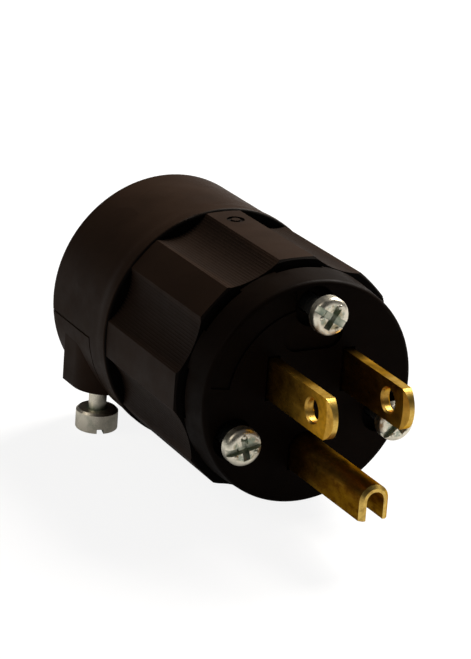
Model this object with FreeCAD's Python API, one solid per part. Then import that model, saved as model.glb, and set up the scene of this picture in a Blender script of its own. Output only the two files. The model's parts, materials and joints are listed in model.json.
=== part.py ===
import FreeCAD, Part
import math
import os
from FreeCAD import Vector

# Rewireable three-pole straight-blade plug, lying on its clamp screws as it rests on a table.
# Millimetres. Origin: centre of the mating face. +Y runs along the plug towards the cord,
# +Z is up and +X is to the right when the face is looked at from the front, ground pin down.

# Contacts
blade_spacing = 12.7
blade_width = 6.35
blade_thickness = 1.5
blade_length = 18.8
blade_tip_rise = 2.0
blade_centre_z = 3.09
blade_hole_radius = 1.75
blade_hole_from_face = 13.1
blade_coin_rise = 0.6
blade_coin_depth = 0.35
blade_hole_bevel = 0.3
ground_offset = 11.89
ground_radius = 2.4
ground_wall = 1.0
ground_leg = 2.96
ground_length = 21.1
ground_nose_chamfer = 0.5

# Contact tails inside the plug
shoulder_from_face = 4.0
shoulder_depth = 1.8
blade_shoulder_rise = 1.825
blade_tail_rise = 0.725
blade_tail_corner = 1.5
ground_shoulder_rise = 2.1
ground_tab_rise = 0.8
terminal_from_face = 13.4
tail_past_terminal = 4.1
slot_clearance = 0.3
pocket_clearance = 0.15

# Grip: lobes and flutes
body_gap = 0.3
lobe_count = 8
lobe_half_angle = 8.75
lobe_front_radius = 19.2
lobe_taper = 0.35
lobe_crown = 0.12
flute_front_depth = 1.25
flute_rear_depth = 1.75
grip_length = 23.55
grip_edge_bevel = 0.35
grip_wall = 2.1
mouth_wall = 1.8
mouth_clearance = 0.15
mark_from_ring = 4.1
mark_radius = 1.4
mark_core_radius = 0.7
mark_depth = 0.35

# Ring and drum
ring_rise = 0.25
ring_length = 3.85
ring_edge_round = 0.5
ring_crown = 1.3
drum_step = 0.2
drum_taper = 0.2
drum_length = 16.1
drum_edge_round = 1.0
drum_wall = 2.3
rear_wall = 2.5

# Face, collar and spigot
collar_inset = 0.05
collar_taper = 0.4
collar_depth = 5.9
face_edge_round = 0.75
notch_length = 0.6
notch_depth = 0.75
notch_past_lobe = 4.0
spigot_wall = 1.0
spigot_length = 3.0
band_width = 3.15
band_depth = 0.25
band_from_top_screw = 11.6
band_to_left_screw = 34.0
recess_blade_gap = 0.6
recess_above_blades = 0.535
recess_under_screw = 1.0
recess_corner = 2.4
recess_corner_share = 0.45
recess_depth = 0.45

# Blade retainer
retainer_seat_gap = 0.2
retainer_thickness = 3.1
wall_thickness = 1.6
wall_length = 10.5
wall_terminal_gap = 0.84
wall_post_gap = 0.6

# Assembly screws and their posts
bolt_from_collar = 4.3
bolt_angles = {"top": 90.0, "left": 205.0, "right": 340.5}
assembly_drive_turns = {"top": 32.0, "left": -12.0, "right": -40.0}
pan_head_radius = 2.95
pan_head_height = 2.0
pan_head_round = 0.9
pan_shank_radius = 1.42
assembly_screw_length = 25.4
assembly_screw_proud = {"top": 3.2, "left": 2.1, "right": 3.25}
counterbore_clearance = 0.3
counterbore_depth = 2.2
screw_hole_clearance = 0.25
thread_clearance = 0.05
post_wall = 1.53
post_gap = 0.1
post_hole_spare = 1.0

# Cord clamp and its screws
parting_z = -1.8
parting_gap = 0.3
clamp_from_ring = 1.9
cord_radius = 8.0
cord_wall = 2.0
tooth_height = 0.8
tooth_width = 1.2
tooth_count = 3
ear_inside_drum = 0.7
ear_to_screw = 4.4
ear_into_cord_wall = 0.6
ear_from_ring = 7.6
ear_behind_screw = 4.4
ear_corner = 5.5
ear_back_round = 0.6
ear_rise = 6.5
spotface_clearance = 0.55
clamp_drive_turns = {"left": 75.0, "right": 30.0}
clamp_head_radius = 3.35
clamp_head_height = 3.35
clamp_head_round = 0.3
clamp_head_chamfer = 0.35
clamp_screw_length = 19.05
clamp_screw_backout = 3.95
clamp_bore_clearance = 0.3
clamp_bore_spare = 1.15
nut_width = 6.35
nut_thickness = 2.4
nut_above_parting = 1.4
nut_slot_clearance = 0.15
nut_boss_wall = 1.1

# Terminal screws and pressure plates
terminal_head_radius = 3.3
terminal_head_height = 1.9
terminal_head_round = 0.6
terminal_shank_radius = 1.75
terminal_screw_length = 6.5
ground_screw_length = 5.5
terminal_thread_clearance = 0.03
wire_gap = 1.2
plate_thickness = 1.0
plate_length = 8.0
plate_width = 7.0
plate_lip = 0.7
plate_hole_clearance = 0.15

# Screw drives
slot_width = 1.1
slot_depth = 0.8
cross_width = 1.1
cross_arm = 1.9
cross_floor = 0.6
cross_depth = 1.25
point_chamfer = 0.4
SAME_PLACE = 1e-3

# Places worked out from the sizes above
ALONG = Vector(0, 1, 0)
UP = Vector(0, 0, 1)
RIGHT = Vector(1, 0, 0)
REACH = 60.0
AXIS = Vector(0, 0, 0)
shoulder_half_height = blade_width / 2 + blade_shoulder_rise
tail_half_height = blade_width / 2 + blade_tail_rise
tail_end = terminal_from_face + tail_past_terminal
ground_z = blade_centre_z - ground_offset
tab_top = ground_z + ground_radius
tab_low = tab_top - ground_wall
half_tab = ground_radius + ground_tab_rise
half_ground_shoulder = ground_radius + ground_shoulder_rise
grip_front = collar_depth + body_gap
ring_front = grip_front + grip_length
ring_end = ring_front + ring_length
drum_end = ring_end + drum_length
lobe_rear_radius = lobe_front_radius - lobe_taper
flute_front_radius = lobe_front_radius - flute_front_depth
flute_rear_radius = lobe_rear_radius - flute_rear_depth
ring_radius = lobe_rear_radius + ring_rise
drum_front_radius = ring_radius - drum_step
drum_rear_radius = drum_front_radius - drum_taper
cavity_radius = flute_rear_radius - grip_wall
mouth_radius = flute_front_radius - mouth_wall
spigot_radius = mouth_radius - mouth_clearance
retainer_radius = spigot_radius - spigot_wall - retainer_seat_gap
collar_rear_radius = flute_front_radius - collar_inset
face_radius = collar_rear_radius - collar_taper
bolt_circle_radius = collar_rear_radius - bolt_from_collar
retainer_end = collar_depth + retainer_thickness
wall_end = retainer_end + wall_length
post_front = retainer_end + post_gap
post_radius = pan_shank_radius + thread_clearance + post_wall
post_hole_end = counterbore_depth + assembly_screw_length + post_hole_spare
clamp_step = ring_end + clamp_from_ring
clamp_front = clamp_step + parting_gap
ear_y = ring_end + ear_from_ring
ear_reach = drum_front_radius - ear_inside_drum
ear_offset_x = ear_reach - ear_to_screw
ear_bottom_z = ear_rise - drum_rear_radius
nut_low = parting_z + nut_above_parting
nut_slot_half = nut_width / 2 + nut_slot_clearance
clamp_bore_top = ear_bottom_z + clamp_screw_length + clamp_bore_spare


def cylinder(radius, start, end, direction, centre=AXIS):
    """A cylinder along a main direction, from one coordinate to another."""
    return Part.makeCylinder(radius, end - start, centre + direction * start, direction)


def block(x_low, x_high, y_low, y_high, z_low, z_high):
    corner = Vector(x_low, y_low, z_low)
    return Part.makeBox(x_high - x_low, y_high - y_low, z_high - z_low, corner)


def turned(points):
    """A body of revolution about the plug's axis from (radius, y) points."""
    corners = [Vector(radius, y, 0) for radius, y in points]
    face = Part.Face(Part.makePolygon(corners + corners[:1]))
    return face.revolve(AXIS, ALONG, 360)


def polar(radius, degrees, y):
    angle = math.radians(degrees)
    return Vector(radius * math.cos(angle), y, radius * math.sin(angle))


def edges_at_y(shape, y):
    """The edges of a shape that lie in the plane at y."""
    flat = [e for e in shape.Edges if e.BoundBox.YLength < SAME_PLACE]
    return [e for e in flat if abs(e.BoundBox.YMin - y) < SAME_PLACE]


def bolt_positions():
    return {name: polar(bolt_circle_radius, angle, 0) for name, angle in bolt_angles.items()}


def ear_positions():
    return {"left": Vector(-ear_offset_x, ear_y, 0), "right": Vector(ear_offset_x, ear_y, 0)}


def blade(x_centre):
    """A blade, its trapped shoulder and its terminal tail, stamped from one strip."""
    half = blade_width / 2
    corner_y = -(blade_length - blade_tip_rise)
    shoulder_end = shoulder_from_face + shoulder_depth
    upper = [
        Vector(0, corner_y, half),
        Vector(0, shoulder_from_face, half),
        Vector(0, shoulder_from_face, shoulder_half_height),
        Vector(0, shoulder_end, shoulder_half_height),
        Vector(0, shoulder_end, tail_half_height),
        Vector(0, tail_end, tail_half_height),
    ]
    lower = [Vector(0, corner.y, -corner.z) for corner in reversed(upper)]
    outline = upper + lower
    edges = [Part.makeLine(a, b) for a, b in zip(outline, outline[1:])]
    edges.append(Part.Arc(lower[-1], Vector(0, -blade_length, 0), upper[0]).toShape())
    face = Part.Face(Part.Wire(edges))
    face.translate(Vector(x_centre - blade_thickness / 2, 0, blade_centre_z))
    strip = face.extrude(RIGHT * blade_thickness)
    corners = [e for e in edges_at_y(strip, tail_end) if e.BoundBox.ZLength < SAME_PLACE]
    strip = strip.makeFillet(blade_tail_corner, corners)
    strip = strip.cut(coined_away(x_centre))
    centre = UP * blade_centre_z
    hole = cylinder(blade_hole_radius, -REACH, REACH, RIGHT, centre - ALONG * blade_hole_from_face)
    thread_radius = terminal_shank_radius + terminal_thread_clearance
    thread = cylinder(thread_radius, -REACH, REACH, RIGHT, centre + ALONG * terminal_from_face)
    return strip.cut([hole, thread] + hole_bevels(x_centre))


def coined_away(x_centre):
    """What is pressed off both faces of a blade in front of a shallow arc between its corners."""
    half_width = blade_width / 2
    half = blade_thickness / 2
    corner_y = blade_tip_rise - blade_length
    inner = (half_width ** 2 + blade_coin_rise ** 2) / (2 * blade_coin_rise)
    outer = inner + blade_tip_rise - blade_coin_rise
    ahead = block(-REACH, REACH, -REACH, corner_y, -REACH, REACH)
    pieces = []
    for side in (-1, 1):
        low = Vector(side * (half - blade_coin_depth), corner_y - blade_coin_rise + inner, 0)
        kept = Part.makeCone(outer, inner, blade_coin_depth, low, RIGHT * side)
        slab = Part.makeCylinder(REACH, blade_coin_depth, low, RIGHT * side)
        pressed = slab.cut(kept).common(ahead)
        pressed.translate(Vector(x_centre, 0, blade_centre_z))
        pieces.append(pressed)
    return pieces


def hole_bevels(x_centre):
    """The bevels round both ends of a blade's hole."""
    cones = []
    for side in (-1, 1):
        outer = Vector(x_centre + side * blade_thickness / 2, -blade_hole_from_face, blade_centre_z)
        cones.append(Part.makeCone(
            blade_hole_radius + blade_hole_bevel, blade_hole_radius, blade_hole_bevel, outer, RIGHT * -side
        ))
    return cones


def folded_bar(start, end, grow=0.0):
    """The folded sheet of the ground pin, open downwards and grown all round."""
    outer = ground_radius + grow
    inner = ground_radius - ground_wall - grow
    low = -ground_leg - grow
    edges = [
        Part.makeLine(Vector(-outer, 0, low), Vector(-outer, 0, 0)),
        Part.Arc(Vector(-outer, 0, 0), Vector(0, 0, outer), Vector(outer, 0, 0)).toShape(),
        Part.makeLine(Vector(outer, 0, 0), Vector(outer, 0, low)),
        Part.makeLine(Vector(outer, 0, low), Vector(inner, 0, low)),
        Part.makeLine(Vector(inner, 0, low), Vector(inner, 0, 0)),
        Part.Arc(Vector(inner, 0, 0), Vector(0, 0, inner), Vector(-inner, 0, 0)).toShape(),
        Part.makeLine(Vector(-inner, 0, 0), Vector(-inner, 0, low)),
        Part.makeLine(Vector(-inner, 0, low), Vector(-outer, 0, low)),
    ]
    face = Part.Face(Part.Wire(edges))
    face.translate(Vector(0, start, ground_z))
    return face.extrude(ALONG * (end - start))


def ground_pin():
    """The folded pin with its trapped shoulder and its flat terminal tab."""
    shoulder_end = shoulder_from_face + shoulder_depth
    pin = folded_bar(-ground_length, shoulder_end)
    nose = [e for e in edges_at_y(pin, -ground_length) if lies_outside(e)]
    pin = pin.makeChamfer(ground_nose_chamfer, nose)
    tab = block(-half_tab, half_tab, shoulder_from_face, tail_end, tab_low, tab_top)
    shoulder = block(
        -half_ground_shoulder, half_ground_shoulder, shoulder_from_face, shoulder_end, tab_low, tab_top
    )
    whole = pin.fuse([tab, shoulder]).removeSplitter()
    thread_radius = terminal_shank_radius + terminal_thread_clearance
    thread = cylinder(thread_radius, -REACH, REACH, UP, ALONG * terminal_from_face)
    return whole.cut(thread)


def lies_outside(edge):
    """True for the long outer edges of the pin's free end."""
    box = edge.BoundBox
    farthest = max(abs(box.XMin), abs(box.XMax))
    return farthest > ground_radius - SAME_PLACE and box.ZLength > SAME_PLACE


def drive_screw(head_radius, head_height, head_round, shank_radius, shank_length, turn, crossed):
    """A machine screw along +Z with its bearing face at the origin and its head below."""
    head = Part.makeCylinder(head_radius, head_height, UP * -head_height)
    rim = [e for e in head.Edges if e.BoundBox.ZMax < SAME_PLACE - head_height]
    head = head.makeFillet(head_round, rim)
    straight = shank_length - point_chamfer
    shank = Part.makeCylinder(shank_radius, straight)
    point = Part.makeCone(shank_radius, shank_radius - point_chamfer, point_chamfer, UP * straight)
    screw = head.fuse([shank, point]).removeSplitter()
    half = slot_width / 2
    cuts = [block(-REACH, REACH, -half, half, -REACH, -head_height + slot_depth)]
    if crossed:
        for wing_turn in (0, 90):
            wing = cross_wing(head_height)
            wing.rotate(AXIS, UP, wing_turn)
            cuts.append(wing)
    screw = screw.cut(cuts)
    screw.rotate(AXIS, UP, turn)
    return screw


def cross_wing(head_height):
    """One pair of wings of a cross recess, with floors that slope to its middle."""
    half = cross_width / 2
    points = [
        Vector(-cross_arm, -half, -head_height),
        Vector(cross_arm, -half, -head_height),
        Vector(cross_floor, -half, -head_height + cross_depth),
        Vector(-cross_floor, -half, -head_height + cross_depth),
    ]
    face = Part.Face(Part.makePolygon(points + points[:1]))
    return face.extrude(ALONG * cross_width)


def placed(shape, position, direction):
    """A copy of a shape made along +Z, moved to a place and pointing in a direction."""
    moved = shape.copy()
    moved.Placement = FreeCAD.Placement(position, FreeCAD.Rotation(UP, direction)).multiply(shape.Placement)
    return moved


def assembly_screw(name):
    """A long face screw, backed out until its head stands proud of the face."""
    screw = drive_screw(
        pan_head_radius, pan_head_height, pan_head_round, pan_shank_radius, assembly_screw_length,
        assembly_drive_turns[name], True
    )
    return placed(screw, bolt_positions()[name] - ALONG * assembly_screw_proud[name], ALONG)


def clamp_screw(side):
    """A clamp screw, head down under its ear and backed out of it."""
    screw = drive_screw(
        clamp_head_radius, clamp_head_height, clamp_head_round, pan_shank_radius, clamp_screw_length,
        clamp_drive_turns[side], False
    )
    bearing = [e for e in screw.Edges if abs(e.BoundBox.ZMin) < SAME_PLACE and abs(e.BoundBox.ZMax) < SAME_PLACE]
    rim = [e for e in bearing if e.BoundBox.XLength > 2 * clamp_head_radius - SAME_PLACE]
    screw = screw.makeChamfer(clamp_head_chamfer, rim)
    screw.translate(ear_positions()[side] + UP * (ear_bottom_z - clamp_screw_backout))
    return screw


def clamp_nut(side):
    """A square nut trapped in the housing above the parting line."""
    half = nut_width / 2
    nut = block(-half, half, -half, half, nut_low, nut_low + nut_thickness)
    nut = nut.cut(cylinder(pan_shank_radius + thread_clearance, -REACH, REACH, UP))
    nut.translate(ear_positions()[side])
    return nut


def terminal_places():
    """Where each terminal screw's head bears on its plate, its direction and its length."""
    stack = plate_thickness + wire_gap
    side_x = blade_spacing / 2 + blade_thickness / 2 + stack
    return {
        "hot": (Vector(-side_x, terminal_from_face, blade_centre_z), RIGHT, terminal_screw_length),
        "neutral": (Vector(side_x, terminal_from_face, blade_centre_z), -RIGHT, terminal_screw_length),
        "ground": (Vector(0, terminal_from_face, tab_low - stack), UP, ground_screw_length),
    }


def terminal_screw(name):
    position, direction, length = terminal_places()[name]
    screw = drive_screw(
        terminal_head_radius, terminal_head_height, terminal_head_round, terminal_shank_radius,
        length, 0, True
    )
    return placed(screw, position, direction)


def pressure_plate(name):
    """A wire plate under a terminal screw's head, with two lips that trap the wire."""
    position, direction, _ = terminal_places()[name]
    half_length = plate_length / 2
    half_width = plate_width / 2
    lip_top = plate_thickness + plate_lip
    plate = block(-half_length, half_length, -half_width, half_width, 0, lip_top)
    inner = half_width - plate_thickness
    plate = plate.cut(block(-half_length, half_length, -inner, inner, plate_thickness, lip_top))
    plate = plate.cut(cylinder(terminal_shank_radius + plate_hole_clearance, -REACH, REACH, UP))
    return placed(plate, position, direction)


def front_body():
    """The face disc and collar with its slots, pockets, counterbores and spigot."""
    collar = turned([(0, 0), (face_radius, 0), (collar_rear_radius, collar_depth), (0, collar_depth)])
    collar = collar.makeFillet(face_edge_round, edges_at_y(collar, 0))
    spigot_end = collar_depth + spigot_length
    spigot = cylinder(spigot_radius, collar_depth, spigot_end, ALONG)
    spigot = spigot.cut(cylinder(spigot_radius - spigot_wall, collar_depth, spigot_end, ALONG))
    body = collar.fuse(spigot).removeSplitter()
    cuts = [lettering_band(), centre_recess()] + collar_notches()
    cuts.append(folded_bar(-REACH, shoulder_from_face, slot_clearance))
    cuts.append(folded_bar(shoulder_from_face, REACH, pocket_clearance))
    half_pocket = half_ground_shoulder + pocket_clearance
    pocket_low = tab_low - pocket_clearance
    pocket_high = tab_top + pocket_clearance
    cuts.append(block(-half_pocket, half_pocket, shoulder_from_face, REACH, pocket_low, pocket_high))
    for side in (-1, 1):
        cuts.extend(blade_openings(side * blade_spacing / 2))
    for position in bolt_positions().values():
        head_room = pan_head_radius + counterbore_clearance
        cuts.append(cylinder(head_room, -REACH, counterbore_depth, ALONG, position))
        cuts.append(cylinder(pan_shank_radius + screw_hole_clearance, -REACH, REACH, ALONG, position))
    return body.cut(cuts)


def blade_openings(x_centre):
    """A blade's slot through the face and the pocket behind it for the shoulder."""
    half_slot = blade_thickness / 2 + slot_clearance
    half_high = blade_width / 2 + slot_clearance
    half_pocket = blade_thickness / 2 + pocket_clearance
    pocket_high = shoulder_half_height + pocket_clearance
    slot = block(
        x_centre - half_slot, x_centre + half_slot, -REACH, shoulder_from_face,
        blade_centre_z - half_high, blade_centre_z + half_high
    )
    pocket = block(
        x_centre - half_pocket, x_centre + half_pocket, shoulder_from_face, REACH,
        blade_centre_z - pocket_high, blade_centre_z + pocket_high
    )
    return [slot, pocket]


def sector(start, end):
    """A wedge about the plug's axis, from one angle to another."""
    tip = Vector(0, -REACH, 0)
    corners = [polar(REACH, angle, -REACH) for angle in (start, (start + end) / 2, end)]
    return Part.Face(Part.makePolygon([tip] + corners + [tip])).extrude(ALONG * 2 * REACH)


def lettering_band():
    """The shallow sunk band between two of the screws, left bare."""
    outer = face_radius - face_edge_round
    band = cylinder(outer, -REACH, band_depth, ALONG)
    band = band.cut(cylinder(outer - band_width, -REACH, band_depth, ALONG))
    start = bolt_angles["top"] + band_from_top_screw
    return band.common(sector(start, bolt_angles["left"] - band_to_left_screw))


def collar_notches():
    """The shallow notches in the collar's rear edge, one in front of each lobe."""
    rim = cylinder(REACH, collar_depth - notch_length, collar_depth, ALONG)
    rim = rim.cut(cylinder(collar_rear_radius - notch_depth, 0, REACH, ALONG))
    half = lobe_half_angle + notch_past_lobe
    centres = [bolt_angles["top"] + index * 360.0 / lobe_count for index in range(lobe_count)]
    return [rim.common(sector(centre - half, centre + half)) for centre in centres]


def centre_recess():
    """The shallow rounded hollow between the blades and the top screw."""
    half = blade_spacing / 2 - blade_thickness / 2 - recess_blade_gap
    low = blade_centre_z + blade_width / 2 + recess_above_blades
    high = bolt_circle_radius - recess_under_screw
    hollow = block(-half, half, -REACH, recess_depth, low, high)
    upright = [e for e in hollow.Edges if e.BoundBox.YLength > REACH]
    corner = min(recess_corner, recess_corner_share * (high - low))
    return hollow.makeFillet(corner, upright)


def blade_retainer():
    """The plate that traps the contacts' shoulders, with walls between the wiring spaces."""
    plate = cylinder(retainer_radius, collar_depth, retainer_end, ALONG)
    half_wall = wall_thickness / 2
    cross_top = blade_centre_z - plate_length / 2 - wall_terminal_gap
    cross_low = cross_top - wall_thickness
    wall_top = bolt_circle_radius - post_radius - wall_post_gap
    cross_half = bolt_positions()["right"].x - post_radius - wall_post_gap
    upright = block(-half_wall, half_wall, collar_depth, wall_end, cross_low, wall_top)
    cross = block(-cross_half, cross_half, collar_depth, wall_end, cross_low, cross_top)
    body = plate.fuse([upright, cross]).removeSplitter()
    half_tab_slot = half_tab + pocket_clearance
    slot_low = tab_low - pocket_clearance
    slot_high = tab_top + pocket_clearance
    cuts = [block(-half_tab_slot, half_tab_slot, -REACH, REACH, slot_low, slot_high)]
    half_slot = blade_thickness / 2 + pocket_clearance
    half_high = tail_half_height + pocket_clearance
    for side in (-1, 1):
        x_centre = side * blade_spacing / 2
        cuts.append(block(
            x_centre - half_slot, x_centre + half_slot, -REACH, REACH,
            blade_centre_z - half_high, blade_centre_z + half_high
        ))
    for position in bolt_positions().values():
        cuts.append(cylinder(pan_shank_radius + screw_hole_clearance, -REACH, REACH, ALONG, position))
    return body.cut(cuts)


def grip_section(y, lobe_radius, flute_radius):
    """One section of the grip: lobes with crisp edges and hollow flutes between them."""
    pitch = 360.0 / lobe_count
    crown_radius = lobe_radius * math.cos(math.radians(lobe_half_angle)) + lobe_crown
    edges = []
    for index in range(lobe_count):
        centre = bolt_angles["top"] + index * pitch
        start = polar(lobe_radius, centre - lobe_half_angle, y)
        end = polar(lobe_radius, centre + lobe_half_angle, y)
        following = polar(lobe_radius, centre + pitch - lobe_half_angle, y)
        edges.append(Part.Arc(start, polar(crown_radius, centre, y), end).toShape())
        edges.append(Part.Arc(end, polar(flute_radius, centre + pitch / 2, y), following).toShape())
    return Part.Wire(edges)


def grip():
    """The fluted grip, its flutes deepening towards the ring."""
    front = grip_section(grip_front, lobe_front_radius, flute_front_radius)
    rear = grip_section(ring_front, lobe_rear_radius, flute_rear_radius)
    fluted = Part.makeLoft([front, rear], True, True)
    bevel_end = grip_front + 2 * grip_edge_bevel
    bevelled = turned([
        (0, grip_front), (lobe_front_radius - grip_edge_bevel, grip_front),
        (lobe_front_radius + grip_edge_bevel, bevel_end), (lobe_front_radius + grip_edge_bevel, ring_end),
        (0, ring_end)
    ])
    return fluted.common(bevelled)


def ring_and_drum():
    """The ring behind the grip, whose crown rolls down in a soft S to the round drum."""
    roll_start = ring_front + ring_crown
    roll_length = ring_end - roll_start
    roll = (roll_length ** 2 + drum_step ** 2) / (4 * drum_step)
    bend = math.asin(roll_length / (2 * roll)) / 2
    fall = roll * (1 - math.cos(bend))
    reach = roll * math.sin(bend)
    crown = Vector(ring_radius, roll_start, 0)
    middle = Vector(ring_radius - drum_step / 2, (roll_start + ring_end) / 2, 0)
    foot = Vector(drum_front_radius, ring_end, 0)
    corners = [
        foot, Vector(drum_rear_radius, drum_end, 0), Vector(0, drum_end, 0), Vector(0, ring_front, 0),
        Vector(ring_radius, ring_front, 0), crown
    ]
    outline = Part.makePolygon(corners).Edges
    outline.append(Part.Arc(crown, crown + Vector(-fall, reach, 0), middle).toShape())
    outline.append(Part.Arc(middle, foot + Vector(fall, -reach, 0), foot).toShape())
    body = Part.Face(Part.Wire(outline)).revolve(AXIS, ALONG, 360)
    body = body.makeFillet(ring_edge_round, edges_at_y(body, ring_front))
    return body.makeFillet(drum_edge_round, edges_at_y(body, drum_end))


def clamp_space(gap):
    """The space below the parting line that the clamp takes, set back by a gap."""
    return block(-REACH, REACH, clamp_step + gap, REACH, -REACH, parting_z - gap)


def cord_hollow():
    """The round way of the cord through the clamp, narrowed by teeth that grip it."""
    hollow = cylinder(cord_radius, clamp_step, REACH, ALONG)
    pitch = (drum_end - clamp_front) / (tooth_count + 1)
    for index in range(tooth_count):
        low = clamp_front + pitch * (index + 1) - tooth_width / 2
        high = low + tooth_width
        tooth = cylinder(cord_radius, low, high, ALONG)
        hollow = hollow.cut(tooth.cut(cylinder(cord_radius - tooth_height, low, high, ALONG)))
    return hollow


def rear_hollow():
    """The hollow inside the drum, in front of its rear wall."""
    return cylinder(drum_rear_radius - drum_wall, ring_end, drum_end - rear_wall, ALONG)


def rear_housing():
    """The moulded shell: grip, ring and drum outside, posts and nut bosses inside."""
    outside = grip().fuse(ring_and_drum()).removeSplitter()
    hollow = cylinder(mouth_radius, -REACH, post_front, ALONG)
    hollow = hollow.fuse([cylinder(cavity_radius, 0, clamp_step, ALONG), rear_hollow()])
    added = [cylinder(cord_radius + cord_wall, clamp_step, drum_end - drum_edge_round, ALONG)]
    for position in bolt_positions().values():
        post = cylinder(post_radius, post_front, post_hole_end + post_hole_spare, ALONG, position)
        added.append(post.common(outside))
    boss_radius = nut_slot_half + nut_boss_wall
    for centre in ear_positions().values():
        added.append(cylinder(boss_radius, parting_z, REACH, UP, centre).common(outside))
    shell = outside.cut(hollow).fuse(added).removeSplitter()
    cuts = [clamp_space(0), cord_hollow(), mould_mark()]
    for position in bolt_positions().values():
        cuts.append(cylinder(pan_shank_radius + thread_clearance, 0, post_hole_end, ALONG, position))
    for centre in ear_positions().values():
        cuts.append(cylinder(pan_shank_radius + screw_hole_clearance, -REACH, clamp_bore_top, UP, centre))
        cuts.append(nut_slot(centre))
    return shell.cut(cuts)


def nut_slot(centre):
    """The slot that a square nut slides into from the front of its boss."""
    low = nut_low - nut_slot_clearance
    high = nut_low + nut_thickness + nut_slot_clearance
    return block(
        centre.x - nut_slot_half, centre.x + nut_slot_half, clamp_step, centre.y + nut_slot_half, low, high
    )


def mould_mark():
    """The small ring-shaped mould mark on the top lobe, close to the ring."""
    centre = ALONG * (ring_front - mark_from_ring)
    floor = lobe_rear_radius - mark_depth
    mark = cylinder(mark_radius, floor, REACH, UP, centre)
    return mark.cut(cylinder(mark_core_radius, floor, REACH, UP, centre))


def screw_ears():
    """The two ears of the clamp: straight outside, well rounded in front and square behind."""
    inner = cord_radius + cord_wall - ear_into_cord_wall
    ear = block(inner, ear_reach, clamp_front, ear_y + ear_behind_screw, ear_bottom_z, parting_z)
    outer = [e for e in ear.Edges if e.BoundBox.XMin > ear_reach - SAME_PLACE]
    upright = [e for e in outer if e.BoundBox.ZLength > SAME_PLACE]
    ear = ear.makeFillet(ear_corner, [e for e in upright if e.BoundBox.YMax < ear_y])
    outer = [e for e in ear.Edges if e.BoundBox.XMin > ear_reach - SAME_PLACE]
    back = [e for e in outer if e.BoundBox.YMin > ear_y and e.BoundBox.ZLength > SAME_PLACE]
    ear = ear.makeFillet(ear_back_round, back)
    return [ear, ear.mirror(AXIS, RIGHT)]


def cord_clamp():
    """The clamp half: round outside, two screw ears and a toothed saddle for the cord."""
    ears = screw_ears()
    solid = ring_and_drum().fuse(ears).common(clamp_space(parting_gap))
    solid_parts = [cylinder(cord_radius + cord_wall, 0, REACH, ALONG)] + ears
    pocket = rear_hollow().cut(solid_parts)
    cuts = [pocket, cord_hollow()]
    for centre in ear_positions().values():
        cuts.append(cylinder(pan_shank_radius + clamp_bore_clearance, -REACH, REACH, UP, centre))
        head_room = clamp_head_radius + spotface_clearance
        cuts.append(cylinder(head_room, -REACH, ear_bottom_z, UP, centre))
    return solid.cut(cuts).removeSplitter()


def all_nodes():
    """Every piece of the plug, under the name that a person would use for it."""
    nodes = {
        "rear_housing": rear_housing(),
        "front_body": front_body(),
        "blade_retainer": blade_retainer(),
        "hot_blade": blade(-blade_spacing / 2),
        "neutral_blade": blade(blade_spacing / 2),
        "ground_pin": ground_pin(),
        "cord_clamp": cord_clamp(),
    }
    for name in bolt_angles:
        nodes["assembly_screw_" + name] = assembly_screw(name)
    for side in ear_positions():
        nodes["clamp_screw_" + side] = clamp_screw(side)
        nodes["clamp_nut_" + side] = clamp_nut(side)
    for name in terminal_places():
        nodes[name + "_terminal_screw"] = terminal_screw(name)
        nodes[name + "_pressure_plate"] = pressure_plate(name)
    return nodes


os.makedirs("parts", exist_ok=True)
for node_name, node_shape in all_nodes().items():
    node_shape.exportStep("parts/" + node_name + ".step")
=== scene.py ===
import json
import math

import bpy
from mathutils import Matrix, Vector


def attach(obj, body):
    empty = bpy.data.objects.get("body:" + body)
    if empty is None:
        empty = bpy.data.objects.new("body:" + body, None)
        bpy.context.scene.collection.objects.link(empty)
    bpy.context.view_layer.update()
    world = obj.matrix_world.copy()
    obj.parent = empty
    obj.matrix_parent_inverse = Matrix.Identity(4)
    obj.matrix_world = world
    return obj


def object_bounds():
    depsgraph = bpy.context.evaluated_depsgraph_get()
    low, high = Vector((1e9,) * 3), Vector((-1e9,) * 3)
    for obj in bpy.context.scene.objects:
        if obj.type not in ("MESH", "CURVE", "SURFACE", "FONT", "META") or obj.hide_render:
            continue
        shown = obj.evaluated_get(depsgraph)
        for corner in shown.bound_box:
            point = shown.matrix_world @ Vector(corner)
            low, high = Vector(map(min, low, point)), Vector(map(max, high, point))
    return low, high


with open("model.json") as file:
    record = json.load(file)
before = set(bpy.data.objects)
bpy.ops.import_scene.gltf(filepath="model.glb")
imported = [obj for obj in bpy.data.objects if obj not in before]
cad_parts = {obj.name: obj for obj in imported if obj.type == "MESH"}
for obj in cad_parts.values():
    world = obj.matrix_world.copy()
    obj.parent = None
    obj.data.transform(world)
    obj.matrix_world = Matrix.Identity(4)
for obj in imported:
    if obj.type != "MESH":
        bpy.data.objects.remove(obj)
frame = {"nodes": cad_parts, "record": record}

MM = 0.001
cad_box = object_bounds()

# Grip, as on the housing: lobe edges and flute floors at its front and at the ring
GRIP_FRONT = 6.2 * MM
GRIP_REAR = 29.75 * MM
LOBE_COUNT = 8
LOBE_HALF_ANGLE = math.radians(8.75)
LOBE_FRONT = 19.2 * MM
LOBE_REAR = 18.85 * MM
FLUTE_FRONT = 17.95 * MM
FLUTE_REAR = 17.1 * MM
RIBS_PER_FLUTE = 18
RIB_RADIUS = 0.2 * MM
RIB_SINK = 0.172 * MM
RIB_SHARE_OF_FLUTE = 0.975
RIB_END_GAP = 0.15 * MM
RIB_SIDES = 12

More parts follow.
